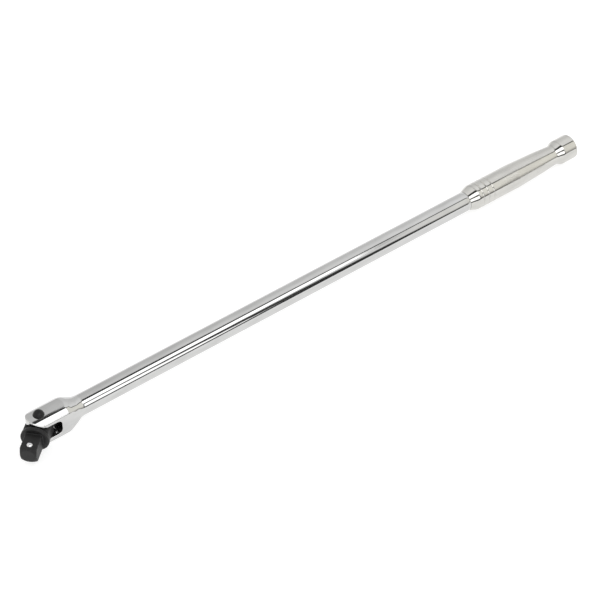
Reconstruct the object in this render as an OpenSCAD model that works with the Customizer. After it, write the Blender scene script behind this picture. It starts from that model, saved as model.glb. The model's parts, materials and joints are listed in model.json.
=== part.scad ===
// Breaker bar: a long round bar with a swivelling square drive head.
// Millimetres. +X runs from the drive end to the grip, +Z runs along the pivot pin.
// The origin is the centre of the drive square's end face, with the head bent to its rest angle.

/* [Drive head] */
// Width of the drive square across its flats
square_w = 12.7; // [12.5:0.05:12.8]
// Length of the drive square, from the collar to the end face
square_len = 16.2; // [15:0.1:17]
// Radius of the end face, inside the turned chamfer
end_face_r = 6; // [5.5:0.1:6.2]
// Distance from the pivot axis to the back of the round collar
collar_start = 10.8; // [10.8:0.1:12]
// Length of the round collar
collar_len = 3.1; // [2.6:0.1:4]
// Diameter of the round collar
collar_d = 21.8; // [21:0.1:22]
// Diameter of the tongue's round end
tongue_d = 19.4; // [19:0.1:19.4]
// Thickness of the tongue
tongue_t = 12.3; // [12:0.1:12.3]
// Width of the tongue where it joins the collar
neck_w = 19; // [18:0.1:19]
// Angle between the head and the straight line of the bar, at rest
bend = 41; // [0:0.1:95]

/* [Fork] */
// Height of the fork between its two flat sides
fork_h = 20.2; // [19.4:0.1:20.6]
// Width of the fork along the pivot pin
fork_w = 25.6; // [24.8:0.1:26]
// Radius of the fork's long edges
fork_edge_r = 5; // [3.5:0.1:5.2]
// Width of the slot between the ears
slot_w = 12.5; // [12.5:0.1:12.8]
// Distance from the pivot axis to the bottom of the slot
slot_depth = 13.2; // [13.2:0.1:15]
// Radius of the corners at the bottom of the slot
slot_root_r = 4; // [3.5:0.1:4.2]

/* [Shaft] */
// Diameter of the shaft
shaft_d = 16.3; // [15.8:0.1:17]
// Slope of the cone between the fork and the shaft, in degrees
neck_slope = 25.5; // [24:0.5:27]
// Distance from the pivot axis to where the cone's fillet meets the shaft
neck_end = 35.4; // [35:0.1:38]
// Radius of the fillet between the cone and the shaft
neck_fillet_r = 14; // [12:0.5:16]

/* [Grip] */
// Distance from the pivot axis to the front of the grip
grip_start = 408.5; // [380:0.5:440]
// Length of the grip
grip_len = 115.2; // [114:0.1:120]
// Diameter of the grip
grip_d = 21.6; // [21.2:0.1:22]
// Diameter of the waist near the end of the grip
waist_d = 16.9; // [16.5:0.1:18]
// Diameter of the knob behind the waist
knob_d = 21.2; // [20.8:0.1:21.6]
// Width of each ring groove
groove_w = 1.3; // [1:0.1:1.6]
// Depth of each ring groove
groove_depth = 0.5; // [0.3:0.1:0.6]
// Spacing of the ring grooves
groove_pitch = 5.6; // [5:0.1:6]
// Diameter of the reduced tail of the shaft, pressed into the grip
tail_d = 14; // [13:0.5:14]
// Length of the reduced tail
tail_len = 60; // [50:1:70]

/* [Pivot pin] */
// Diameter of the pivot pin
pin_d = 8.3; // [8:0.1:8.8]
// Height of the domed end that stands out of the fork
pin_dome = 3.7; // [2.6:0.1:3.9]
// Radial running clearance between the pin and the head
pin_clearance = 0.05; // [0.02:0.01:0.08]

/* [Detents] */
// Diameter of the ball that holds a socket
ball_d = 5.5; // [5.4:0.1:5.6]
// Depth of the ball's centre below the face of the square
ball_depth = 1.65; // [1.6:0.05:1.8]
// Distance from the end face to the ball
ball_from_end = 5.8; // [5.6:0.1:7]
// Radial clearance of the ball and the plunger in their holes
detent_clearance = 0.05; // [0.03:0.01:0.08]
// Diameter of the plunger that bears on the tongue
plunger_d = 6; // [5.6:0.1:6.2]
// Depth of the plunger's hole below the bottom of the slot
plunger_hole_len = 20; // [18:1:22]

/* [Hidden] */
$fn = 72;

chrome = [0.78, 0.78, 0.77];
black_steel = [0.16, 0.16, 0.17];
bright_steel = [0.7, 0.7, 0.72];

eps = 0.01;
head_len = collar_start + collar_len + square_len;
pivot = [head_len * cos(bend), head_len * sin(bend), 0];
fork_r = norm([fork_h / 2 - fork_edge_r, fork_w / 2 - fork_edge_r]) + fork_edge_r;
fork_blank_r = fork_r + 0.3;
shaft_r = shaft_d / 2;

// Where the neck's straight cone meets its fillet, and where it would reach the fork's blank
cone_foot = [neck_end - neck_fillet_r * sin(neck_slope),
             shaft_r + neck_fillet_r * (1 - cos(neck_slope))];
cone_top_x = cone_foot[0] - (fork_blank_r - cone_foot[1]) / tan(neck_slope);

// Edges of the head
tongue_edge_r = 1.7;
collar_edge_r = 0.9;
collar_chamfer = 0.6;
square_edge_r = 0.9;
end_slope = 1.5;

// Ball cavity and spring seat, in the head
ball_x = -(head_len - ball_from_end);
ball_z = square_w / 2 - ball_depth;
ball_r = ball_d / 2;
cavity_r = ball_r + detent_clearance;
cavity_floor = -3.9;

// Plunger and its hole, in the bar
plunger_r = plunger_d / 2;
plunger_hole_r = plunger_r + detent_clearance;
plunger_gap = 0.03;
plunger_nose_x = tongue_d / 2 + plunger_gap;
plunger_len = 11;
plunger_stem_d = 2.6;
plunger_stem_len = 4;
hole_end_x = slot_depth + plunger_hole_len;

// Grip outline, measured from the front of the grip
shoulder_slope = 20;
shoulder_r = 9;
shoulder_end = 8.9;
groove_start = 12.2;
taper_start = 51.5;
taper_knee = 79.5;
waist_x = grip_len - 21.1;
flare_r = 9;
flare_slope = 30;
knob_blend_r = 7;
knob_edge_r = 1.2;
// The flare leaves the waist's arc and runs into the knob's arc at one slope
knob_start = waist_x + (flare_r + knob_blend_r) * sin(flare_slope)
    + (knob_d / 2 - waist_d / 2 - (flare_r + knob_blend_r) * (1 - cos(flare_slope)))
    / tan(flare_slope);

// Springs
spring_gap = 0.02;
detent_wire_r = 0.3;
detent_coil_r = 1.75;
detent_turns = 6;
friction_wire_r = 0.4;
friction_coil_r = 2.2;
friction_turns = 9;
spring_steps = 16;
spring_sides = 6;

// ---- Shared shapes ----

// Puts children drawn in the head's own straight frame at the rest angle
module in_head() {
    translate(pivot)
        rotate([0, 0, bend])
            children();
}

// Puts children drawn from the pivot axis in place on the bar
module in_bar() {
    translate(pivot)
        children();
}

// Turns a profile drawn as [distance along X, radius] about the X axis
module turned() {
    rotate([0, 90, 0])
        rotate_extrude()
            mirror([1, -1, 0])
                children();
}

// Points along an arc, for an outline
function arc(centre, r, from, to, steps = 10) =
    [for (i = [0:steps]) let (a = from + (to - from) * i / steps) centre + r * [cos(a), sin(a)]];

// Rectangle with round corners, centred
module rounded_rect(size, r) {
    square([size[0] - 2 * r, size[1]], center = true);
    square([size[0], size[1] - 2 * r], center = true);
    for (sx = [-1, 1], sy = [-1, 1])
        translate([sx * (size[0] / 2 - r), sy * (size[1] / 2 - r)])
            circle(r);
}

// Round-cornered prism along X, from x0 to x1, with size across Y and Z
module prism_x(x0, x1, size, r) {
    translate([x0, 0, 0])
        rotate([90, 0, 90])
            linear_extrude(x1 - x0)
                rounded_rect(size, r);
}

// Sweeps a round wire through turns of a helix along Z, with closed turns at both ends
function coil_z(a, turns, wire_r, len) =
    let (dead = 2.1 * wire_r, live = (len - 2 * wire_r - 2 * dead) / (turns - 2))
    wire_r + (a < 1 ? a * dead : a > turns - 1 ? dead + (turns - 2) * live + (a - turns + 1) * dead
        : dead + (a - 1) * live);

module coil_spring(coil_r, wire_r, turns, len) {
    rings = turns * spring_steps;
    points = [for (i = [0:rings], j = [0:spring_sides - 1])
        let (a = i / spring_steps, b = 360 * j / spring_sides, r = coil_r + wire_r * cos(b))
        [r * cos(360 * a), r * sin(360 * a), coil_z(a, turns, wire_r, len) + wire_r * sin(b)]];
    sides = [for (i = [0:rings - 1], j = [0:spring_sides - 1])
        let (k = (j + 1) % spring_sides, low = i * spring_sides, high = low + spring_sides)
        [low + j, low + k, high + k, high + j]];
    first = [for (j = [spring_sides - 1:-1:0]) j];
    last = [for (j = [0:spring_sides - 1]) rings * spring_sides + j];
    polyhedron(points, concat(sides, [first], [last]), convexity = 10);
}

// ---- Bar: fork, neck, shaft and the tail inside the grip ----

module neck_profile() {
    polygon(concat(
        [[-fork_h, 0], [-fork_h, fork_blank_r], [cone_top_x, fork_blank_r]],
        arc([neck_end, shaft_r + neck_fillet_r], neck_fillet_r, -90 - neck_slope, -90),
        [[neck_end, 0]]));
}

// Two flat-sided ears with round tips about the pin, cut from one block with round edges
module fork_block() {
    rotate_extrude()
        intersection() {
            rounded_rect([fork_h, fork_w], fork_edge_r);
            translate([0, -fork_w])
                square([fork_h, 2 * fork_w]);
        }
    prism_x(0, neck_end + 1, [fork_h, fork_w], fork_edge_r);
}

module fork() {
    intersection() {
        turned()
            neck_profile();
        fork_block();
    }
}

module fork_slot() {
    rotate([90, 0, 0])
        linear_extrude(fork_h + 2, center = true) {
            translate([slot_depth - 20 - slot_root_r, 0])
                square([40, slot_w], center = true);
            translate([slot_depth - slot_root_r, 0])
                square([2 * slot_root_r, slot_w - 2 * slot_root_r], center = true);
            for (z = [-1, 1])
                translate([slot_depth - slot_root_r, z * (slot_w / 2 - slot_root_r)])
                    circle(slot_root_r);
        }
}

module bar() {
    color(chrome)
        in_bar()
            difference() {
                union() {
                    fork();
                    translate([neck_end, 0, 0])
                        rotate([0, 90, 0])
                            cylinder(r = shaft_r, h = grip_start - neck_end);
                    translate([grip_start - eps, 0, 0])
                        rotate([0, 90, 0])
                            cylinder(d = tail_d, h = tail_len + eps);
                }
                fork_slot();
                cylinder(d = pin_d, h = fork_w + 2, center = true);
                translate([slot_depth - 2, 0, 0])
                    rotate([0, 90, 0])
                        cylinder(r = plunger_hole_r, h = plunger_hole_len + 2);
            }
}

// ---- Grip: turned sleeve with three ring grooves, a waist and a round knob ----

module grip_profile() {
    r = grip_d / 2;
    knob_r = knob_d / 2;
    waist_r = waist_d / 2;
    difference() {
        polygon(concat(
            [[0, 0], [0, shaft_r]],
            arc([shoulder_end, r - shoulder_r], shoulder_r, 90 + shoulder_slope, 90),
            [[taper_start, r], [taper_knee, (r + waist_r) / 2 - 0.1]],
            arc([waist_x, waist_r + flare_r], flare_r, -90 - 4, -90 + flare_slope),
            arc([knob_start, knob_r - knob_blend_r], knob_blend_r, 90 + flare_slope, 90),
            arc([grip_len - knob_edge_r, knob_r - knob_edge_r], knob_edge_r, 90, 0, 6),
            [[grip_len, 0]]));
        for (i = [0:2])
            translate([groove_start + i * groove_pitch, r + groove_w / 2 - groove_depth])
                circle(groove_w / 2, $fn = 36);
    }
}

module grip() {
    color(chrome)
        in_bar()
            difference() {
                translate([grip_start, 0, 0])
                    turned()
                        grip_profile();
                translate([grip_start - 1, 0, 0])
                    rotate([0, 90, 0])
                        cylinder(d = tail_d, h = tail_len + 1);
            }
}

// ---- Drive head: tongue, collar and square, drawn straight along -X from the pivot axis ----

module tongue() {
    rotate_extrude()
        intersection() {
            rounded_rect([tongue_d, tongue_t], tongue_edge_r);
            translate([0, -tongue_t])
                square([tongue_d, 2 * tongue_t]);
        }
    prism_x(-collar_start - 1, 0, [neck_w, tongue_t], tongue_edge_r);
}

module collar_profile() {
    r = collar_d / 2;
    polygon(concat(
        [[0, 0]],
        arc([collar_edge_r, r - collar_edge_r], collar_edge_r, 180, 90, 6),
        [[collar_len - collar_chamfer, r], [collar_len, r - collar_chamfer], [collar_len, 0]]));
}

module drive_square() {
    cone_h = square_len + 1;
    translate([-head_len, 0, 0])
        intersection() {
            prism_x(0, cone_h, [square_w, square_w], square_edge_r);
            rotate([0, 90, 0])
                cylinder(r1 = end_face_r, r2 = end_face_r + end_slope * cone_h, h = cone_h);
        }
}

module drive_head() {
    color(black_steel)
        in_head()
            difference() {
                union() {
                    tongue();
                    translate([-collar_start - collar_len, 0, 0])
                        turned()
                            collar_profile();
                    drive_square();
                }
                cylinder(r = pin_d / 2 + pin_clearance, h = tongue_t + 2, center = true);
                translate([ball_x, 0, cavity_floor])
                    cylinder(r = cavity_r, h = ball_z - cavity_floor);
                translate([ball_x, 0, ball_z])
                    sphere(cavity_r);
            }
}

// ---- Pins, plunger, ball and springs ----

module pivot_pin() {
    dome_base_r = pin_d / 2;
    dome_r = (dome_base_r * dome_base_r + pin_dome * pin_dome) / (2 * pin_dome);
    color(black_steel)
        in_bar() {
            translate([0, 0, -fork_w / 2])
                cylinder(r = dome_base_r, h = fork_w);
            translate([0, 0, fork_w / 2])
                intersection() {
                    translate([0, 0, pin_dome - dome_r])
                        sphere(dome_r, $fn = 96);
                    cylinder(r = dome_base_r, h = pin_dome + 1);
                }
        }
}

module friction_plunger() {
    nose_r = 4;
    color(bright_steel)
        in_bar()
            translate([plunger_nose_x, 0, 0]) {
                intersection() {
                    translate([nose_r, 0, 0])
                        sphere(nose_r);
                    rotate([0, 90, 0])
                        cylinder(r = plunger_r, h = nose_r);
                }
                translate([nose_r - eps, 0, 0])
                    rotate([0, 90, 0])
                        cylinder(r = plunger_r, h = plunger_len - nose_r + eps);
                translate([plunger_len - eps, 0, 0])
                    rotate([0, 90, 0])
                        cylinder(d = plunger_stem_d, h = plunger_stem_len + eps);
            }
}

module friction_spring() {
    start = plunger_nose_x + plunger_len + spring_gap;
    color(bright_steel)
        in_bar()
            translate([start, 0, 0])
                rotate([0, 90, 0])
                    coil_spring(friction_coil_r, friction_wire_r, friction_turns,
                                hole_end_x - spring_gap - start);
}

module detent_ball() {
    color(bright_steel)
        in_head()
            translate([ball_x, 0, ball_z])
                sphere(ball_r);
}

module detent_spring() {
    touch_r = ball_r + detent_wire_r + spring_gap;
    top = ball_z - sqrt(touch_r * touch_r - detent_coil_r * detent_coil_r) + detent_wire_r;
    color(bright_steel)
        in_head()
            translate([ball_x, 0, cavity_floor + spring_gap])
                coil_spring(detent_coil_r, detent_wire_r, detent_turns,
                            top - cavity_floor - 2 * spring_gap);
}

bar();
grip();
drive_head();
pivot_pin();
friction_plunger();
friction_spring();
detent_ball();
detent_spring();
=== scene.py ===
"""Breaker bar: fine visual pieces, materials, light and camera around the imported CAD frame.

Shapes are worked out in millimetres, in the bar's own frame (pivot pin at the origin, +X along the
bar, +Z along the pin), and placed in the row frame in metres. The fork and the drive head are
distance fields, meshed and then pulled exactly on to the field, so that every edge is really round.
"""

import json
import math

import bmesh
import bpy
import numpy as np
from mathutils import Matrix, Vector


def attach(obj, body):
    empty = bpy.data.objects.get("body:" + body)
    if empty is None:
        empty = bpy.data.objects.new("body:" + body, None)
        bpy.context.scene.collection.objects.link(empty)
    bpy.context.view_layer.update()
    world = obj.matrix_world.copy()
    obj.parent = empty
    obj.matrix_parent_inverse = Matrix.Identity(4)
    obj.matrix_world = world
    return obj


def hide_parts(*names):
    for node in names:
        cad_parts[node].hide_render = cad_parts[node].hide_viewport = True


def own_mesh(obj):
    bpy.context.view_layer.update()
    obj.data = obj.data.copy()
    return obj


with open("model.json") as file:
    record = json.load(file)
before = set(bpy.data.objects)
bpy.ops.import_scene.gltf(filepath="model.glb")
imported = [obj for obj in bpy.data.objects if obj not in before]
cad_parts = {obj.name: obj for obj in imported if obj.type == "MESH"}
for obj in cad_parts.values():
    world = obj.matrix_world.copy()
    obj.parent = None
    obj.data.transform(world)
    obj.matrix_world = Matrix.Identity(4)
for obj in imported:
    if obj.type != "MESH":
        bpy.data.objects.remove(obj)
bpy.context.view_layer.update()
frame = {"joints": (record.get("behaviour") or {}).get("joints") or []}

MM = 0.001

# ---- Sizes in mm: the CAD model's, apart from the last group, which is the finish of its edges ----

SWIVEL = next(j for j in frame["joints"] if j["name"] == "head_swivel")
PIVOT = np.array(SWIVEL["pos_m"]) / MM
HEAD_LEN = float(np.hypot(PIVOT[0], PIVOT[1]))
BEND = math.atan2(PIVOT[1], PIVOT[0])

FORK_H, FORK_W = 20.2, 25.6
SLOT_W, SLOT_DEPTH, SLOT_ROOT_R = 12.5, 13.2, 4.0
SHAFT_R = 16.3 / 2
NECK_SLOPE, NECK_END, NECK_FILLET_R = math.radians(25.5), 35.4, 14.0
GRIP_START, GRIP_LEN, GRIP_R = 408.5, 115.2, 21.6 / 2
WAIST_R, KNOB_R = 16.9 / 2, 21.2 / 2
TAIL_R, TAIL_LEN = 7.0, 60.0
GROOVE_R, GROOVE_DEPTH, GROOVE_START, GROOVE_PITCH, GROOVES = 0.65, 0.5, 12.2, 5.6, 3

TONGUE_R, TONGUE_T, NECK_W, TONGUE_EDGE_R = 9.7, 12.3, 19.0, 1.7
COLLAR_START, COLLAR_LEN, COLLAR_R = 10.8, 3.1, 10.9
SQUARE_W, SQUARE_EDGE_R, END_FACE_R, END_SLOPE = 12.7, 0.9, 6.0, 1.5

PIN_R, PIN_DOME, PIN_CLEARANCE = 8.3 / 2, 3.7, 0.05
SLIDE_CLEARANCE = 0.05
BALL_R, BALL_FROM_END = 5.5 / 2, 5.8
BALL_X = -(HEAD_LEN - BALL_FROM_END)
BALL_DEPTH = 1.65
BALL_Z = SQUARE_W / 2 - BALL_DEPTH
BALL_HOLE_FLOOR = -3.9
PLUNGER_R, PLUNGER_LEN, PLUNGER_NOSE_R = 3.0, 11.0, 4.0
PLUNGER_STEM_R, PLUNGER_STEM_LEN = 1.3, 4.0
PLUNGER_GAP, PLUNGER_HOLE_LEN = 0.03, 20.0
PLUNGER_X = TONGUE_R + PLUNGER_GAP
PLUNGER_HOLE_END = SLOT_DEPTH + PLUNGER_HOLE_LEN
FRICTION_COIL_R, FRICTION_WIRE_R, FRICTION_TURNS = 2.2, 0.4, 9
DETENT_COIL_R, DETENT_WIRE_R, DETENT_TURNS = 1.75, 0.3, 6
SPRING_GAP = 0.02

# The fork's long edges are ground to a facet, and the upper ear is slightly crowned
FACET_SLOPE, FACET_START, FACET_DROP = math.radians(33), 6.44, 0.48
EAR_CROWN_R = 45.0
FACET_BLEND_R, EAR_EDGE_R, NECK_EDGE_R = 0.8, 0.8, 1.0
SLOT_EDGE_R, EAR_HOLE_EDGE_R, PLUNGER_HOLE_EDGE_R = 0.55, 0.35, 0.3
COLLAR_FRONT_EDGE_R, COLLAR_BACK_EDGE_R, COLLAR_FILLET_R, SQUARE_FILLET_R = 0.9, 0.7, 0.3, 0.6
END_CONE_EDGE_R, END_FACE_EDGE_R, HEAD_HOLE_EDGE_R, BALL_SEAT_EDGE_R = 0.5, 0.45, 0.4, 0.25

# ---- Mesh fineness, in mm and in sides of a round piece ----

CELL = 0.32
FORK_MARGIN, HEAD_MARGIN = 0.6, 0.7
FORK_MESH_END = 36.9
SHAFT_SIDES, PIN_SIDES, PLUNGER_SIDES = 160, 96, 72


# ---- Frames ----

def bar_to_world(p):
    """Bar frame in mm to row frame in metres."""
    return (np.asarray(p, float) + PIVOT) * MM


def turn_head(p):
    """Turns points or directions of the head's frame by the rest angle."""
    p = np.asarray(p, float)
    c, s = math.cos(BEND), math.sin(BEND)
    return np.stack([c * p[..., 0] - s * p[..., 1], s * p[..., 0] + c * p[..., 1], p[..., 2]], -1)


def head_to_world(p):
    """Head frame in mm (straight along -X from the pin) to row frame in metres, at the rest angle."""
    return (turn_head(p) + PIVOT) * MM


# ---- Distance fields: negative inside ----

def round_max(a, b, r):
    """Intersection of two solids with a round outer edge."""
    u = np.maximum(r + a, 0)
    v = np.maximum(r + b, 0)
    return np.minimum(-r, np.maximum(a, b)) + np.hypot(u, v)


def round_min(a, b, r):
    """Union of two solids with a round inner fillet."""
    return -round_max(-a, -b, r)


def box2(a, b, r):
    """Outline or edge of two crossing slabs, whose corner has radius r."""
    return np.minimum(np.maximum(a, b) + r, 0) + np.hypot(np.maximum(a + r, 0), np.maximum(b + r, 0)) - r


def fork_field(p):
    """Fork, neck and the start of the shaft, in the bar's frame."""
    x, y, z = p[..., 0], p[..., 1], p[..., 2]
    side = np.hypot(np.minimum(x, 0), y) - FORK_H / 2
    top = np.abs(z) - FORK_W / 2 + np.where(z > 0, y ** 2 / (2 * EAR_CROWN_R), 0)
    facet = ((np.abs(y) - FACET_START) * math.sin(FACET_SLOPE)
             + (top + FACET_DROP) * math.cos(FACET_SLOPE))
    block = round_max(round_max(top, facet, FACET_BLEND_R), side, EAR_EDGE_R)

    rho = np.hypot(y, z)
    s, c = math.sin(NECK_SLOPE), math.cos(NECK_SLOPE)
    foot_x = NECK_END - NECK_FILLET_R * s
    foot_r = SHAFT_R + NECK_FILLET_R * (1 - c)
    cone = (rho - foot_r) * c + (x - foot_x) * s
    fillet = NECK_FILLET_R - np.hypot(x - NECK_END, rho - SHAFT_R - NECK_FILLET_R)
    past_foot = (x - foot_x) * c - (rho - foot_r) * s > 0
    neck = np.where(x >= NECK_END, rho - SHAFT_R, np.where(past_foot, fillet, cone))
    body = round_max(block, neck, NECK_EDGE_R)

    slot = box2(x - SLOT_DEPTH, np.abs(z) - SLOT_W / 2, SLOT_ROOT_R)
    body = round_max(body, -slot, SLOT_EDGE_R)
    body = round_max(body, PIN_R - np.hypot(x, y), EAR_HOLE_EDGE_R)
    plunger_hole = np.maximum(rho - PLUNGER_R - SLIDE_CLEARANCE, x - PLUNGER_HOLE_END)
    return round_max(body, -plunger_hole, PLUNGER_HOLE_EDGE_R)


def head_field(p):
    """Tongue, collar and drive square, in the head's frame."""
    x, y, z = p[..., 0], p[..., 1], p[..., 2]
    rho = np.hypot(y, z)
    disc = np.hypot(x, y) - TONGUE_R
    arm = np.maximum(np.abs(y) - NECK_W / 2, np.maximum(x, -COLLAR_START - 1 - x))
    tongue = box2(np.minimum(disc, arm), np.abs(z) - TONGUE_T / 2, TONGUE_EDGE_R)

    mid = -COLLAR_START - COLLAR_LEN / 2
    edge = np.where(x < mid, COLLAR_FRONT_EDGE_R, COLLAR_BACK_EDGE_R)
    collar = box2(rho - COLLAR_R, np.abs(x - mid) - COLLAR_LEN / 2, edge)

    square = box2(np.abs(y) - SQUARE_W / 2, np.abs(z) - SQUARE_W / 2, SQUARE_EDGE_R)
    cone = (rho - END_FACE_R - (x + HEAD_LEN) * END_SLOPE) / math.hypot(1, END_SLOPE)
    square = round_max(square, cone, END_CONE_EDGE_R)
    square = round_max(square, -HEAD_LEN - x, END_FACE_EDGE_R)
    square = np.maximum(square, x + COLLAR_START + 1)

    body = round_min(round_min(tongue, collar, COLLAR_FILLET_R), square, SQUARE_FILLET_R)
    body = round_max(body, PIN_R + PIN_CLEARANCE - np.hypot(x, y), HEAD_HOLE_EDGE_R)
    cavity_r = BALL_R + SLIDE_CLEARANCE
    bore = np.maximum(np.hypot(x - BALL_X, y) - cavity_r,
                      np.maximum(z - BALL_Z, BALL_HOLE_FLOOR - z))
    seat = np.sqrt((x - BALL_X) ** 2 + y ** 2 + (z - BALL_Z) ** 2) - cavity_r
    return round_max(body, -np.minimum(bore, seat), BALL_SEAT_EDGE_R)


def gradient(field, p, h=1e-3):
    """Slope of a field at some points, by central differences."""
    g = np.zeros_like(p)
    for i in range(3):
        step = np.zeros(3)
        step[i] = h
        g[:, i] = (field(p + step) - field(p - step)) / (2 * h)
    return g


def unit_gradient(field, p):
    slope = gradient(field, p)
    return slope / np.linalg.norm(slope, axis=1)[:, None]


def field_mesh(field, low, high, cell=CELL):
    """Surface nets over a grid, then every vertex is pulled on to the field. Returns points, quads."""
    low, high = np.asarray(low, float), np.asarray(high, float)
    count = np.ceil((high - low) / cell).astype(int) + 1
    axes = [low[i] + cell * np.arange(count[i]) for i in range(3)]
    grid = np.stack(np.meshgrid(*axes, indexing="ij"), -1)
    inside = field(grid) < 0

    corners = sum(inside[i:count[0] - 1 + i, j:count[1] - 1 + j, k:count[2] - 1 + k].astype(np.int8)
                  for i in (0, 1) for j in (0, 1) for k in (0, 1))
    crossing = (corners > 0) & (corners < 8)
    index = -np.ones(crossing.shape, int)
    index[crossing] = np.arange(int(crossing.sum()))
    points = low + cell * (np.argwhere(crossing) + 0.5)

    quads = []
    for axis in range(3):
        near = np.moveaxis(inside, axis, 0)
        cells = np.moveaxis(index, axis, 0)
        change = near[:-1, 1:-1, 1:-1] != near[1:, 1:-1, 1:-1]
        flip = near[:-1, 1:-1, 1:-1][change]
        a, b, c = np.nonzero(change)
        ring = np.stack([cells[a, b, c], cells[a, b + 1, c],
                         cells[a, b + 1, c + 1], cells[a, b, c + 1]], -1)
        if axis == 1:
            flip = ~flip
        ring[~flip] = ring[~flip][:, ::-1]
        quads.append(ring)
    quads = np.concatenate(quads)

    for _ in range(8):
        d = field(points)
        g = gradient(field, points)
        move = d[:, None] * g / np.maximum((g ** 2).sum(1), 1e-6)[:, None]
        points = points - np.clip(move, -cell, cell)
    return points, quads


# ---- Mesh helpers ----

def object_of(mesh, material):
    """A smooth-shaded object of a mesh, with the mesh's name."""
    piece = bpy.data.objects.new(mesh.name, mesh)
    bpy.context.scene.collection.objects.link(piece)
    mesh.materials.append(material)
    mesh.shade_smooth()
    return piece


def new_object(name, points, faces, material):
    mesh = bpy.data.meshes.new(name)
    mesh.from_pydata([tuple(p) for p in points], [], [tuple(int(i) for i in f) for f in faces])
    mesh.update()
    return object_of(mesh, material)


def sharpen(piece, degrees=32):
    """Marks the edges that bend by more than an angle, so that they aren't shaded smooth."""
    piece.data.set_sharp_from_angle(angle=math.radians(degrees))


def set_normals(piece, normals):
    """Vertex normals; a zero vector keeps the mesh's own."""
    piece.data.normals_split_custom_set_from_vertices([tuple(n) for n in normals])


def finish_piece(piece, body, slot, *nodes):
    """Puts a piece on its body, in place of its CAD nodes. The slot argument is not used."""
    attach(piece, body)
    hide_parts(*nodes)


def lathe(profile, sides, to_world, along="x"):
    """Turns a profile of (distance, radius) about an axis. A radius of 0 closes it in one point."""
    points, rings = [], []
    angles = 2 * math.pi * np.arange(sides) / sides
    for d, r in profile:
        if r < 1e-9:
            ring = [(d, 0.0, 0.0)]
        else:
            ring = [(d, r * math.cos(a), r * math.sin(a)) for a in angles]
        rings.append(range(len(points), len(points) + len(ring)))
        points.extend(ring)
    faces = []
    for one, two in zip(rings[:-1], rings[1:]):
        for k in range(sides):
            m = (k + 1) % sides
            if len(one) == 1:
                faces.append((one[0], two[m], two[k]))
            elif len(two) == 1:
                faces.append((one[k], one[m], two[0]))
            else:
                faces.append((one[k], one[m], two[m], two[k]))
    points = np.array(points)
    if along == "z":
        points = points[:, [1, 2, 0]]
    return to_world(points), faces


def arc(cx, cr, r, start, end, steps):
    """Points of (distance, radius) on an arc, in degrees."""
    return [(cx + r * math.cos(math.radians(a)), cr + r * math.sin(math.radians(a)))
            for a in np.linspace(start, end, steps + 1)]


def wire(turns, coil_r, wire_r, length, to_world, steps=40, sides=14):
    """Points and faces of a round wire wound into a closed-end compression spring."""
    dead = 2.1 * wire_r
    live = (length - 2 * wire_r - 2 * dead) / (turns - 2)
    n = turns * steps
    t = np.arange(n + 1) / steps
    rise = wire_r + np.where(t < 1, t * dead,
                             np.where(t > turns - 1, dead + (turns - 2) * live + (t - turns + 1) * dead,
                                      dead + (t - 1) * live))
    around = 2 * math.pi * np.arange(sides) / sides
    r = coil_r + wire_r * np.cos(around)[None, :]
    z = rise[:, None] + wire_r * np.sin(around)[None, :]
    turn = 2 * math.pi * t[:, None]
    points = np.stack([r * np.cos(turn), r * np.sin(turn), z], -1).reshape(-1, 3)
    faces = []
    for i in range(n):
        for j in range(sides):
            k = (j + 1) % sides
            faces.append((i * sides + j, (i + 1) * sides + j, (i + 1) * sides + k, i * sides + k))
    faces.append(tuple(range(sides)))
    faces.append(tuple(n * sides + j for j in range(sides - 1, -1, -1)))
    return to_world(points), faces


# ---- Materials ----

def new_material(name):
    material = bpy.data.materials.new(name)
    material.use_nodes = True
    nodes = material.node_tree.nodes
    links = material.node_tree.links
    shader = nodes["Principled BSDF"]
    return material, nodes, links, shader


def mapped(nodes, links, scale, rotation=(0, 0, 0), centre=(0, 0, 0)):
    """Object coordinates in mm, moved to a centre, turned and scaled."""
    source = nodes.new("ShaderNodeTexCoord")
    shift = nodes.new("ShaderNodeMapping")
    shift.vector_type = "POINT"
    shift.inputs["Location"].default_value = [-c * MM for c in centre]
    spin = nodes.new("ShaderNodeMapping")
    spin.vector_type = "POINT"
    spin.inputs["Rotation"].default_value = rotation
    spin.inputs["Scale"].default_value = (1 / MM,) * 3
    stretch = nodes.new("ShaderNodeMapping")
    stretch.vector_type = "POINT"
    stretch.inputs["Scale"].default_value = scale
    links.new(source.outputs["Object"], shift.inputs["Vector"])
    links.new(shift.outputs["Vector"], spin.inputs["Vector"])
    links.new(spin.outputs["Vector"], stretch.inputs["Vector"])
    return stretch.outputs["Vector"]


def noise(nodes, links, vector, scale, detail=3.0, roughness=0.55):
    node = nodes.new("ShaderNodeTexNoise")
    node.inputs["Scale"].default_value = scale
    node.inputs["Detail"].default_value = detail
    node.inputs["Roughness"].default_value = roughness
    links.new(vector, node.inputs["Vector"])
    return node.outputs["Fac"]


def ramp(nodes, links, value, stops):
    """Colour ramp; stops are (place, colour)."""
    node = nodes.new("ShaderNodeValToRGB")
    elements = node.color_ramp.elements
    while len(elements) < len(stops):
        elements.new(0.5)
    for element, (place, colour) in zip(elements, stops):
        element.position = place
        element.color = (*colour, 1)
    links.new(value, node.inputs["Fac"])
    return node.outputs["Color"]


def spread(nodes, links, value, low, high, new_low, new_high):
    node = nodes.new("ShaderNodeMapRange")
    node.inputs["From Min"].default_value = low
    node.inputs["From Max"].default_value = high
    node.inputs["To Min"].default_value = new_low
    node.inputs["To Max"].default_value = new_high
    links.new(value, node.inputs["Value"])
    return node.outputs["Result"]


def math_node(nodes, links, operation, a, b):
    node = nodes.new("ShaderNodeMath")
    node.operation = operation
    for socket, value in zip(node.inputs, (a, b)):
        if isinstance(value, (int, float)):
            socket.default_value = value
        else:
            links.new(value, socket)
    return node.outputs["Value"]


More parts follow.
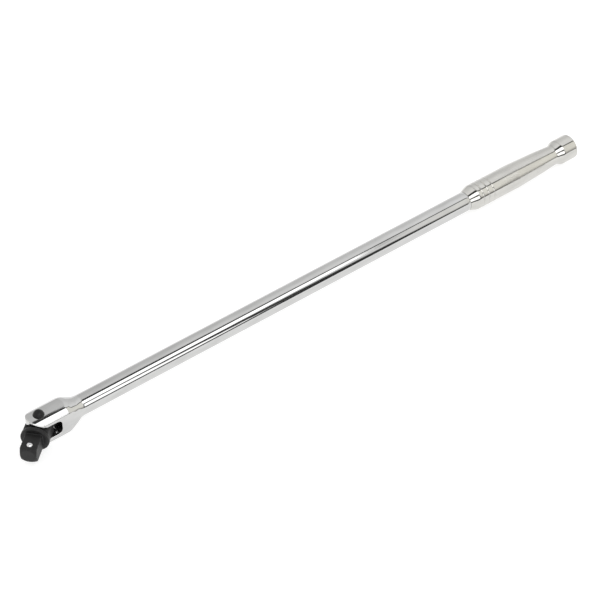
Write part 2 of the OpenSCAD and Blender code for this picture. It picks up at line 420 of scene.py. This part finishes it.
def bump(nodes, links, height, strength, distance_mm, before=None):
    node = nodes.new("ShaderNodeBump")
    node.inputs["Strength"].default_value = strength
    node.inputs["Distance"].default_value = distance_mm * MM
    links.new(height, node.inputs["Height"])
    if before is not None:
        links.new(before, node.inputs["Normal"])
    return node.outputs["Normal"]


def chrome(name, tint, dull, rough, satin=None, grain=0.0):
    """Chrome plate: slight waviness, polishing lines round the bar, hairline scratches, dull patches.

    rough is the roughness of its bright and of its dull parts. satin is a length of the bar that is
    worn by hands: its start, its end, how softly it begins and ends, and the roughness it adds.
    """
    material, nodes, links, shader = new_material(name)
    shader.inputs["Metallic"].default_value = 1.0
    flow = mapped(nodes, links, (0.05, 0.16, 0.16), centre=PIVOT)
    patches = noise(nodes, links, flow, 1.0, 4.0)
    links.new(ramp(nodes, links, patches, [(0.3, dull), (0.62, tint)]), shader.inputs["Base Color"])

    lines = noise(nodes, links, mapped(nodes, links, (9.0, 0.25, 0.25), centre=PIVOT), 1.0, 2.0)
    scratch_map = mapped(nodes, links, (0.35, 5.0, 5.0), rotation=(0.15, 0.1, 0.12), centre=PIVOT)
    scratches = noise(nodes, links, scratch_map, 1.0, 1.0)
    hair = spread(nodes, links, scratches, 0.70, 0.78, 0.0, 1.0)
    base = spread(nodes, links, patches, 0.35, 0.7, rough[1], rough[0])
    if satin is not None:
        place = nodes.new("ShaderNodeSeparateXYZ")
        links.new(mapped(nodes, links, (1, 1, 1), centre=PIVOT), place.inputs["Vector"])
        start, end, ease, extra = satin
        rise = spread(nodes, links, place.outputs["X"], start - ease, start + ease, 0.0, 1.0)
        fall = spread(nodes, links, place.outputs["X"], end - ease, end + ease, 1.0, 0.0)
        held = math_node(nodes, links, "MULTIPLY", rise, fall)
        base = math_node(nodes, links, "ADD", base, math_node(nodes, links, "MULTIPLY", held, extra))
    rough_out = math_node(nodes, links, "ADD", base, math_node(nodes, links, "MULTIPLY", hair, 0.10))
    links.new(rough_out, shader.inputs["Roughness"])

    wavy = noise(nodes, links, mapped(nodes, links, (0.045, 0.11, 0.11), centre=PIVOT), 1.0, 1.0)
    normal = bump(nodes, links, wavy, 0.35, 0.10)
    normal = bump(nodes, links, lines, 0.10 + grain, 0.004, normal)
    normal = bump(nodes, links, hair, 0.12, 0.004, normal)
    links.new(normal, shader.inputs["Normal"])
    return material


def black_phosphate(name):
    """Black phosphate on forged steel: fine grain, soft mottling, and metal rubbed bare on the edges."""
    material, nodes, links, shader = new_material(name)
    place = mapped(nodes, links, (1, 1, 1), rotation=(0, 0, -BEND), centre=PIVOT)
    mottle = noise(nodes, links, place, 0.35, 5.0, 0.6)
    grain = noise(nodes, links, place, 7.0, 3.0, 0.6)
    worn = nodes.new("ShaderNodeAttribute")
    worn.attribute_name = "edge"
    rub = noise(nodes, links, place, 0.9, 4.0, 0.65)
    wear = math_node(nodes, links, "MULTIPLY", worn.outputs["Fac"],
                     spread(nodes, links, rub, 0.50, 0.70, 0.0, 1.0))
    wear = spread(nodes, links, wear, 0.25, 0.85, 0.0, 1.0)
    coat = ramp(nodes, links, mottle, [(0.3, (0.008, 0.008, 0.0082)), (0.7, (0.017, 0.0167, 0.017))])
    mix = nodes.new("ShaderNodeMix")
    mix.data_type = "RGBA"
    links.new(wear, mix.inputs["Factor"])
    links.new(coat, mix.inputs["A"])
    mix.inputs["B"].default_value = (0.14, 0.14, 0.142, 1)
    links.new(mix.outputs["Result"], shader.inputs["Base Color"])
    links.new(spread(nodes, links, wear, 0.0, 1.0, 0.15, 0.9), shader.inputs["Metallic"])
    rough = math_node(nodes, links, "ADD", spread(nodes, links, mottle, 0.3, 0.7, 0.40, 0.54),
                      spread(nodes, links, wear, 0.0, 1.0, 0.0, -0.12))
    links.new(rough, shader.inputs["Roughness"])
    shader.inputs["Specular IOR Level"].default_value = 0.32
    normal = bump(nodes, links, grain, 0.30, 0.05)
    normal = bump(nodes, links, mottle, 0.25, 0.15, normal)
    links.new(normal, shader.inputs["Normal"])
    return material


def turned_steel(name, dark, light, rough, rings, centre, along, metallic=1.0, depth=0.01):
    """Turned or ground steel: fine rings about an axis, with slight mottling.

    rough is the roughness of its dark and of its light parts, rings how close the rings are, per mm.
    """
    material, nodes, links, shader = new_material(name)
    shader.inputs["Metallic"].default_value = metallic
    place = mapped(nodes, links, (1, 1, 1), centre=centre)
    mottle = noise(nodes, links, place, 0.8, 4.0)
    links.new(ramp(nodes, links, mottle, [(0.3, dark), (0.7, light)]), shader.inputs["Base Color"])
    part = nodes.new("ShaderNodeSeparateXYZ")
    links.new(place, part.inputs["Vector"])
    a, b = [axis for axis in "XYZ" if axis != along]
    square = [math_node(nodes, links, "MULTIPLY", part.outputs[q], part.outputs[q]) for q in (a, b)]
    radius = math_node(nodes, links, "SQRT", math_node(nodes, links, "ADD", *square), 0)
    joined = nodes.new("ShaderNodeCombineXYZ")
    links.new(radius, joined.inputs["X"])
    links.new(part.outputs[along], joined.inputs["Y"])
    marks = noise(nodes, links, joined.outputs["Vector"], rings, 2.0)
    links.new(spread(nodes, links, mottle, 0.3, 0.7, rough[0], rough[1]), shader.inputs["Roughness"])
    links.new(bump(nodes, links, marks, 0.35, depth), shader.inputs["Normal"])
    return material


BAR_CHROME = chrome("bar_chrome", (0.60, 0.60, 0.595), (0.55, 0.55, 0.545), (0.03, 0.06))
GRIP_CHROME = chrome("grip_chrome", (0.62, 0.612, 0.585), (0.57, 0.562, 0.54), (0.05, 0.08),
                     satin=(GRIP_START + 32, GRIP_START + 88, 6, 0.13), grain=0.1)
HEAD_BLACK = black_phosphate("black_head")
PIN_BLACK = turned_steel("black_pin", (0.010, 0.010, 0.0105), (0.018, 0.018, 0.019), (0.30, 0.42), 3.0,
                         PIVOT, "Z", metallic=0.6, depth=0.02)
ball_centre = head_to_world([BALL_X, 0, BALL_Z]) / MM
BALL_STEEL = turned_steel("ball_steel", (0.66, 0.66, 0.67), (0.78, 0.78, 0.79), (0.08, 0.16), 2.0,
                          ball_centre, "Z", depth=0.004)
PLUNGER_STEEL = turned_steel("plunger_steel", (0.5, 0.5, 0.51), (0.62, 0.62, 0.63), (0.18, 0.3), 4.0,
                             PIVOT, "X")
WIRE_STEEL = turned_steel("spring_wire", (0.34, 0.34, 0.35), (0.48, 0.48, 0.49), (0.22, 0.38), 5.0,
                          PIVOT, "Z")


# ---- Bar: fork, neck, shaft and the tail inside the grip, in one closed mesh ----

def join_fork_and_shaft():
    across, along_pin = FORK_H / 2 + FORK_MARGIN, FORK_W / 2 + FORK_MARGIN
    points, quads = field_mesh(fork_field, (-across, -across, -along_pin),
                               (FORK_MESH_END, across, along_pin))
    normals = unit_gradient(fork_field, points)

    bm = bmesh.new()
    layer = bm.verts.layers.float_vector.new("exact_normal")
    verts = [bm.verts.new(p) for p in points]
    for v, n in zip(verts, normals):
        v[layer] = n
    for q in quads:
        bm.faces.new([verts[i] for i in q])
    loose = [v for v in bm.verts if not v.link_faces]
    bmesh.ops.delete(bm, geom=loose, context="VERTS")
    rim = [e for e in bm.edges if e.is_boundary]

    # Rings further and further apart behind the fork's mesh, and then evenly spaced
    start = max(v.co.x for e in rim for v in e.verts) + 0.35
    even_start, even_step = 70, 12.0
    rings = [start] + [start + 1.5 * 1.35 ** i for i in range(10)]
    rings = [x for x in rings if x < even_start]
    rings += list(np.arange(even_start, GRIP_START - even_step / 2, even_step))
    chamfer, tail_end = 0.2, GRIP_START + TAIL_LEN
    profile = [(x, SHAFT_R) for x in rings + [GRIP_START - 3, GRIP_START - chamfer]]
    profile += [(GRIP_START, SHAFT_R - chamfer), (GRIP_START, TAIL_R), (tail_end, TAIL_R), (tail_end, 0)]
    shaft_points, shaft_faces = lathe(profile, SHAFT_SIDES, np.asarray)
    shaft = [bm.verts.new(p) for p in shaft_points]
    for v in shaft:
        if v.co.x < GRIP_START - 1:
            v[layer] = Vector((0, v.co.y, v.co.z)).normalized()
    for f in shaft_faces:
        bm.faces.new([shaft[i] for i in f])
    first_ring = set(shaft[:SHAFT_SIDES])
    ends = [e for e in bm.edges if e.is_boundary and set(e.verts) <= first_ring]
    bmesh.ops.bridge_loops(bm, edges=rim + ends)
    bmesh.ops.recalc_face_normals(bm, faces=bm.faces)

    mesh = bpy.data.meshes.new("bar_body")
    exact = [tuple(v[layer]) for v in bm.verts]
    for v in bm.verts:
        v.co = Vector(bar_to_world(v.co[:]))
    bm.to_mesh(mesh)
    bm.free()
    mesh.attributes.remove(mesh.attributes["exact_normal"])
    piece = object_of(mesh, BAR_CHROME)
    sharpen(piece, 40)
    set_normals(piece, exact)
    finish_piece(piece, "bar", "bar_chrome", "bar")


join_fork_and_shaft()


# ---- Grip: turned sleeve with ring grooves, a waist and a round knob ----

def grip_outline():
    """Profile of the grip from its front face to the centre mark in its end."""
    shoulder_slope, shoulder_r, shoulder_end = 20, 9, 8.9
    taper_start, taper_knee = 51.5, 79.5
    flare_r, flare_slope, blend_r, knob_edge = 9, 30, 7, 1.2
    waist_x = GRIP_LEN - 21.1
    rise = KNOB_R - WAIST_R - (flare_r + blend_r) * (1 - math.cos(math.radians(flare_slope)))
    knob_start = (waist_x + (flare_r + blend_r) * math.sin(math.radians(flare_slope))
                  + rise / math.tan(math.radians(flare_slope)))
    rough_line = [(0, SHAFT_R)]
    rough_line += arc(shoulder_end, GRIP_R - shoulder_r, shoulder_r, 90 + shoulder_slope, 90, 24)
    rough_line += [(taper_start, GRIP_R), (taper_knee, (GRIP_R + WAIST_R) / 2 - 0.1)]
    rough_line += arc(waist_x, WAIST_R + flare_r, flare_r, -94, -90 + flare_slope, 24)
    rough_line += arc(knob_start, KNOB_R - blend_r, blend_r, 90 + flare_slope, 90, 20)
    rough_line += [(GRIP_LEN, KNOB_R)]
    line = np.array(rough_line)

    # Stations along the grip, close together at its front and around each groove
    grooves = [GROOVE_START + i * GROOVE_PITCH for i in range(GROOVES)]
    xs = [0.0, 0.12, 0.3, 0.5, 0.75]
    xs += list(np.arange(1, GRIP_LEN - knob_edge, 0.5))
    for middle in grooves:
        xs += list(np.arange(middle - 1.1, middle + 1.1, 0.06))
    xs = np.unique(np.round(xs, 3))

    # The line's corners are softened by averaging it over a short reach, except at the front
    front, reach, samples = 2, 0.45, 9
    r = np.interp(xs, line[:, 0], line[:, 1])
    soft = np.zeros_like(r)
    for offset in np.linspace(-reach, reach, samples):
        soft += np.interp(xs + offset, line[:, 0], line[:, 1]) / samples
    r = np.where(xs > front, np.minimum(soft, r + 0.05), r)

    groove_edge, groove_reach = 0.05, 1.0
    for middle in grooves:
        away = xs - middle
        cut = np.sqrt(np.maximum(GROOVE_R ** 2 - away ** 2, 0)) - (GROOVE_R - GROOVE_DEPTH)
        r = r - 0.5 * (cut + np.sqrt(cut ** 2 + groove_edge ** 2)) * (np.abs(away) < groove_reach)

    outline = [(0, TAIL_R), (0, SHAFT_R - 0.25)] + list(zip(xs[1:], r[1:]))
    outline += arc(GRIP_LEN - knob_edge, KNOB_R - knob_edge, knob_edge, 90, 0, 8)
    centre_mark = [(0, 2.6), (0.25, 2.2), (1.3, 0.35), (1.35, 0)]
    return outline + [(GRIP_LEN - depth, radius) for depth, radius in centre_mark]


def make_grip():
    drill_point = 0.6
    inner = [(TAIL_LEN + drill_point, 0), (TAIL_LEN, TAIL_R)]
    points, faces = lathe(inner + grip_outline(), SHAFT_SIDES,
                          lambda p: bar_to_world(p + [GRIP_START, 0, 0]))
    faces = [f[::-1] for f in faces]
    piece = new_object("grip_sleeve", points, faces, GRIP_CHROME)
    sharpen(piece, 30)
    finish_piece(piece, "bar", "grip_chrome", "grip")


make_grip()


# ---- Drive head ----

def make_head():
    across = COLLAR_R + HEAD_MARGIN
    points, quads = field_mesh(head_field, (-HEAD_LEN - HEAD_MARGIN, -across, -across),
                               (TONGUE_R + HEAD_MARGIN, across, across))
    normals = unit_gradient(head_field, points)
    # How sharply the surface bends, from the field around each point: 0 on flats, 1 on tight edges
    reach, full = 0.5, 1.2
    total = sum(head_field(points + reach * np.eye(3)[i] * sign) for i in range(3) for sign in (-1, 1))
    bend = np.clip(total / reach / full, 0, 1)
    piece = new_object("head_body", head_to_world(points), quads, HEAD_BLACK)
    set_normals(piece, turn_head(normals))
    edge = piece.data.attributes.new("edge", "FLOAT", "POINT")
    edge.data.foreach_set("value", bend.astype(np.float32))
    finish_piece(piece, "drive_head", "black_head", "drive_head")


make_head()


# ---- Pin, ball, plunger and springs ----

def make_pin():
    dome_r = (PIN_R ** 2 + PIN_DOME ** 2) / (2 * PIN_DOME)
    half, chamfer = FORK_W / 2, 0.4
    reach = math.degrees(math.asin(PIN_R / dome_r))
    dome = arc(half + PIN_DOME - dome_r, 0, dome_r, reach, 0, 14)
    profile = [(-half, 0), (-half, PIN_R - chamfer), (-half + chamfer, PIN_R), (half - 0.05, PIN_R)]
    profile += dome[:-1] + [(half + PIN_DOME, 0)]
    points, faces = lathe(profile, PIN_SIDES, bar_to_world, along="z")
    piece = new_object("pivot_pin_body", points, faces, PIN_BLACK)
    sharpen(piece, 25)
    finish_piece(piece, "bar", "black_pin", "pivot_pin")


def make_ball():
    profile = [(BALL_R * -math.cos(a), BALL_R * math.sin(a)) for a in np.linspace(0, math.pi, 49)]
    profile[0], profile[-1] = (-BALL_R, 0), (BALL_R, 0)
    shift = np.array([BALL_X, 0, BALL_Z])
    points, faces = lathe(profile, PIN_SIDES, lambda p: head_to_world(p + shift), along="z")
    piece = new_object("detent_ball_body", points, faces, BALL_STEEL)
    finish_piece(piece, "detent_ball", "bright_steel", "detent_ball")


def make_plunger():
    reach = math.degrees(math.asin(PLUNGER_R / PLUNGER_NOSE_R))
    nose = arc(PLUNGER_X + PLUNGER_NOSE_R, 0, PLUNGER_NOSE_R, 180, 180 - reach, 12)
    end, chamfer = PLUNGER_X + PLUNGER_LEN, 0.3
    stem_end = end + PLUNGER_STEM_LEN
    profile = [(PLUNGER_X, 0)] + nose[1:]
    profile += [(end - chamfer, PLUNGER_R), (end, PLUNGER_R - chamfer), (end, PLUNGER_STEM_R),
                (stem_end - chamfer, PLUNGER_STEM_R), (stem_end, PLUNGER_STEM_R - chamfer), (stem_end, 0)]
    points, faces = lathe(profile, PLUNGER_SIDES, bar_to_world)
    piece = new_object("plunger_body", points, faces, PLUNGER_STEEL)
    sharpen(piece)
    finish_piece(piece, "friction_plunger", "bright_steel", "friction_plunger")


def make_springs():
    start = PLUNGER_X + PLUNGER_LEN + SPRING_GAP

    def on_bar(p):
        return bar_to_world(np.stack([p[..., 2] + start, p[..., 1], -p[..., 0]], -1))

    length = PLUNGER_HOLE_END - SPRING_GAP - start
    points, faces = wire(FRICTION_TURNS, FRICTION_COIL_R, FRICTION_WIRE_R, length, on_bar)
    spring = new_object("friction_spring_wire", points, faces, WIRE_STEEL)
    sharpen(spring, 60)
    finish_piece(spring, "bar", "spring_steel", "friction_spring")
    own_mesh(spring)

    # The top turn's wire stands just clear of the ball
    touch = BALL_R + DETENT_WIRE_R + SPRING_GAP
    top = BALL_Z - math.sqrt(touch ** 2 - DETENT_COIL_R ** 2) + DETENT_WIRE_R
    shift = np.array([BALL_X, 0, BALL_HOLE_FLOOR + SPRING_GAP])
    length = top - BALL_HOLE_FLOOR - 2 * SPRING_GAP
    points, faces = wire(DETENT_TURNS, DETENT_COIL_R, DETENT_WIRE_R, length,
                         lambda p: head_to_world(p + shift))
    spring = new_object("detent_spring_wire", points, faces, WIRE_STEEL)
    sharpen(spring, 60)
    finish_piece(spring, "drive_head", "spring_steel", "detent_spring")
    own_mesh(spring)


make_pin()
make_ball()
make_plunger()
make_springs()


# ---- Floor, light and camera ----

# Brightness of the studio's parts
CEILING_DIP, CEILING_PLAIN, DARK, JOINT = 0.82, 0.98, 0.05, 0.62
LOW_BOX, HIGH_BOX = 2.0, 2.2
WARM_WHITE = (1.0, 0.985, 0.92, 1)

# The camera's direction, its distance from the pivot along its line of sight, and its offset, in metres
CAMERA_AZIMUTH, CAMERA_ELEVATION = math.radians(-37.53), math.radians(43.88)
CAMERA_AWAY, CAMERA_RIGHT, CAMERA_UP = 1.5586, 0.1898, 0.0921
CAMERA_LENS = 128.13


def make_floor():
    """A pale floor just under the lower ear, wide enough to have no edge in sight."""
    level = (-FORK_W / 2 + PIVOT[2]) * MM - 0.0002
    half = 6.0
    corners = [(-half, -half), (half, -half), (half, half), (-half, half)]
    mesh = bpy.data.meshes.new("floor")
    mesh.from_pydata([(x, y, level) for x, y in corners], [], [(0, 1, 2, 3)])
    floor = bpy.data.objects.new("floor", mesh)
    bpy.context.scene.collection.objects.link(floor)
    material, nodes, links, shader = new_material("floor_white")
    shader.inputs["Base Color"].default_value = (0.45, 0.45, 0.45, 1)
    shader.inputs["Roughness"].default_value = 0.9
    shader.inputs["Specular IOR Level"].default_value = 0.0
    shader.inputs["Emission Color"].default_value = (1, 1, 1, 1)
    shader.inputs["Emission Strength"].default_value = 0.70
    mesh.materials.append(material)


def make_world():
    """A studio by direction: pale ceiling and back, an unlit side in front with two soft boxes in it,
    and a pale wall to the right. The same set stands again behind the bar, turned by half a circle.

    x is the direction's share along the bar. The angles, in degrees, are turn, about the bar (0 is
    behind it, 90 up, 180 in front), around, to the right of straight in front, and height above level.
    """
    world = bpy.data.worlds.new("studio")
    bpy.context.scene.world = world
    world.use_nodes = True
    nodes, links = world.node_tree.nodes, world.node_tree.links
    source = nodes.new("ShaderNodeTexCoord")
    part = nodes.new("ShaderNodeSeparateXYZ")
    links.new(source.outputs["Generated"], part.inputs["Vector"])
    x, y, z = (part.outputs[axis] for axis in "XYZ")

    def compute(operation, one, two=0.0):
        return math_node(nodes, links, operation, one, two)

    def times(one, two):
        return compute("MULTIPLY", one, two)

    def mapped_to(value, low, high, new_low, new_high):
        return spread(nodes, links, value, low, high, new_low, new_high)

    def above(value, at, soft):
        """1 where value is above at, which may itself vary, and 0 below it."""
        return mapped_to(compute("SUBTRACT", value, at), -soft, soft, 0.0, 1.0)

    def without(value):
        return compute("SUBTRACT", 1.0, value)

    def between(value, low, high, soft):
        return times(above(value, low, soft), without(above(value, high, soft)))

    def blend(one, two, factor):
        return compute("ADD", times(one, without(factor)), times(two, factor))

    side = without(times(above(times(x, -1.0), 0.55, 0.02), 2.0))
    x, y = times(x, side), times(y, side)
    degrees = 180 / math.pi
    turn = times(compute("ARCTAN2", z, y), degrees)
    around = times(compute("ARCTAN2", x, times(y, -1.0)), degrees)
    height = times(compute("ARCSINE", z), degrees)

    # Pale ceiling and back wall, a little darker straight ahead and low down
    dip = times(mapped_to(x, 0.12, 0.32, 0.0, 1.0), mapped_to(x, 0.34, 0.50, 1.0, 0.0))
    pale = times(mapped_to(dip, 0.0, 1.0, CEILING_PLAIN, CEILING_DIP), mapped_to(turn, 38, 76, 0.87, 1.08))

    # The ceiling ends overhead, later to the right, and early in one narrow gap
    gap = between(x, 0.300, 0.327, 0.004)
    ceiling_edge = compute("ADD", mapped_to(x, 0.36, 0.50, 90, 101), mapped_to(gap, 0.0, 1.0, 0.0, -30))

    # The dark front: a wall closes it to the right, with a dark joint above and below it
    wall = blend(mapped_to(x, 0.44, 0.53, 0.93, 1.08), JOINT, above(turn, 163, 8))
    wall_side = compute("MAXIMUM", times(above(around, 31.5, 1.0), above(turn, 134, 1.0)),
                        times(above(x, 0.472, 0.02), between(turn, 109, 136, 1.0)))
    wall_side = times(wall_side, without(above(turn, mapped_to(x, 0.46, 0.56, 166, 176), 1.5)))
    front = blend(DARK, wall, wall_side)

    # Two soft boxes: one low and in front, one above it
    low_box = times(between(height, 11, 34.5, 0.8), without(above(around, 25.5, 0.8)))
    high_box = times(between(turn, 107.5, 133.5, 0.7), without(above(x, 0.472, 0.006)))
    front = blend(blend(front, LOW_BOX, low_box), HIGH_BOX, high_box)
    level = blend(pale, front, above(turn, ceiling_edge, 1.2))

    # The wall is a warm white
    warm = times(above(x, 0.51, 0.04), above(turn, 108, 3))
    tint = nodes.new("ShaderNodeMix")
    tint.data_type = "RGBA"
    tint.inputs["A"].default_value = (1, 1, 1, 1)
    tint.inputs["B"].default_value = WARM_WHITE
    links.new(warm, tint.inputs["Factor"])
    background = nodes["Background"]
    links.new(tint.outputs["Result"], background.inputs["Color"])
    links.new(level, background.inputs["Strength"])


def make_camera():
    flat = math.cos(CAMERA_ELEVATION)
    look = Vector((-math.sin(CAMERA_AZIMUTH) * flat, math.cos(CAMERA_AZIMUTH) * flat,
                   -math.sin(CAMERA_ELEVATION)))
    right = Vector((math.cos(CAMERA_AZIMUTH), math.sin(CAMERA_AZIMUTH), 0))
    up = right.cross(look)
    camera_data = bpy.data.cameras.new("camera")
    camera_data.sensor_width = 36
    camera_data.lens = CAMERA_LENS
    camera_data.clip_end = 30
    camera = bpy.data.objects.new("camera", camera_data)
    bpy.context.scene.collection.objects.link(camera)
    place = Vector(PIVOT * MM) - look * CAMERA_AWAY + right * CAMERA_RIGHT + up * CAMERA_UP
    camera.matrix_world = Matrix((
        (right.x, up.x, -look.x, place.x), (right.y, up.y, -look.y, place.y),
        (right.z, up.z, -look.z, place.z), (0, 0, 0, 1)))
    bpy.context.scene.camera = camera


make_floor()
make_world()
make_camera()

view = bpy.context.scene.view_settings
view.view_transform = "Standard"
view.look = "None"
